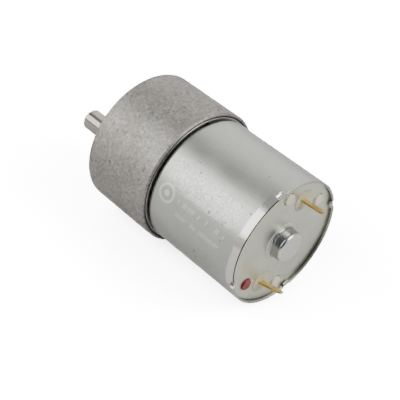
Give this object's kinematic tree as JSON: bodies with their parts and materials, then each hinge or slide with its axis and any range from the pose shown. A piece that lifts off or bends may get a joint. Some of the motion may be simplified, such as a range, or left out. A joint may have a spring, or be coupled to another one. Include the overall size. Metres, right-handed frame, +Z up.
{
  "type": "gearmotor",
  "caption": "Cylindrical gearmotor: a brushed motor can behind a short round spur gearbox, with an offset D-shaft in front and brass blade terminals behind.",
  "frame": {"origin": "centre of the gearbox's front mounting face, on the motor axis", "axes": "+X along the output shaft, away from the motor; +Z up, with the output shaft 7 mm below the motor axis; +Y to the left, seen from the motor's rear end towards the shaft"},
  "size_m": [0.0789, 0.037, 0.037],
  "materials": {
    "zinc_casting": "sand-blasted zinc die casting, matt warm grey",
    "plate_steel": "plain zinc-plated steel",
    "screw_steel": "zinc-plated screw",
    "bronze": "sintered or spring bronze",
    "washer_steel": "spring steel",
    "ground_steel": "ground steel",
    "shaft_steel": "ground and hardened steel",
    "gear_steel": "hobbed steel with grease",
    "can_steel": "satin zinc-plated drawn steel",
    "end_plate_steel": "satin zinc-plated drawn steel",
    "ferrite": "dark sintered ferrite",
    "white_nylon": "natural nylon",
    "cream_nylon": "translucent cream nylon",
    "red_mark": "red paint mark",
    "terminal_brass": "stamped brass",
    "carbon": "copper graphite",
    "lamination_steel": "stacked electrical steel",
    "copper_wire": "enamelled copper wire",
    "copper": "turned copper",
    "dark_plastic": "phenolic moulding"
  },
  "bodies": {
    "housing": {"gearbox_housing": "zinc_casting", "rear_plate": "plate_steel", "cover_screws": "screw_steel", "motor_screws": "screw_steel", "front_bushing": "bronze", "output_thrust_washer": "washer_steel", "gear_pin_a": "ground_steel", "gear_pin_b": "ground_steel", "pin_spacers": "washer_steel", "motor_can": "can_steel", "front_bearing": "bronze", "rear_bearing": "bronze", "bearing_retainer": "washer_steel", "magnet_a": "ferrite", "magnet_b": "ferrite", "magnet_clips": "washer_steel", "end_plate": "end_plate_steel", "brush_holder": "white_nylon", "polarity_dot": "red_mark", "insulator_positive": "cream_nylon", "insulator_negative": "cream_nylon", "terminal_positive": "terminal_brass", "terminal_negative": "terminal_brass", "brush_arm_positive": "bronze", "brush_arm_negative": "bronze", "brush_positive": "carbon", "brush_negative": "carbon"},
    "armature": {"armature_shaft": "ground_steel", "armature_core": "lamination_steel", "core_insulator_front": "cream_nylon", "core_insulator_rear": "cream_nylon", "windings": "copper_wire", "commutator_hub": "dark_plastic", "commutator_segments": "copper", "armature_spacers": "white_nylon", "motor_pinion": "terminal_brass"},
    "gear_1": {"first_wheel": "gear_steel", "first_pinion": "gear_steel"},
    "gear_2": {"second_wheel": "gear_steel", "second_pinion": "gear_steel"},
    "gear_3": {"third_wheel": "gear_steel", "third_pinion": "gear_steel"},
    "output": {"output_shaft": "shaft_steel", "output_gear": "gear_steel", "output_circlip": "washer_steel"}
  },
  "joints": [
    {"name": "output_spin", "type": "hinge", "parent": "housing", "child": "output", "pos_m": [0.01, 0, -0.007], "axis": [1, 0, 0], "continuous": true},
    {"name": "armature_spin", "type": "hinge", "parent": "housing", "child": "armature", "pos_m": [-0.034, 0, 0], "axis": [1, 0, 0], "continuous": true},
    {"name": "gear_1_spin", "type": "hinge", "parent": "housing", "child": "gear_1", "pos_m": [-0.015, 0.00894, 0.001], "axis": [1, 0, 0], "continuous": true},
    {"name": "gear_2_spin", "type": "hinge", "parent": "housing", "child": "gear_2", "pos_m": [-0.013, 0.00154, 0.00611], "axis": [1, 0, 0], "continuous": true},
    {"name": "gear_3_spin", "type": "hinge", "parent": "housing", "child": "gear_3", "pos_m": [-0.01, 0.00894, 0.001], "axis": [1, 0, 0], "continuous": true}
  ],
  "couplings": [
    {"joint": "armature_spin", "follows": "output_spin", "ratio": 30.992},
    {"joint": "gear_1_spin", "follows": "output_spin", "ratio": -15.496},
    {"joint": "gear_2_spin", "follows": "output_spin", "ratio": 6.8182},
    {"joint": "gear_3_spin", "follows": "output_spin", "ratio": -3}
  ]
}
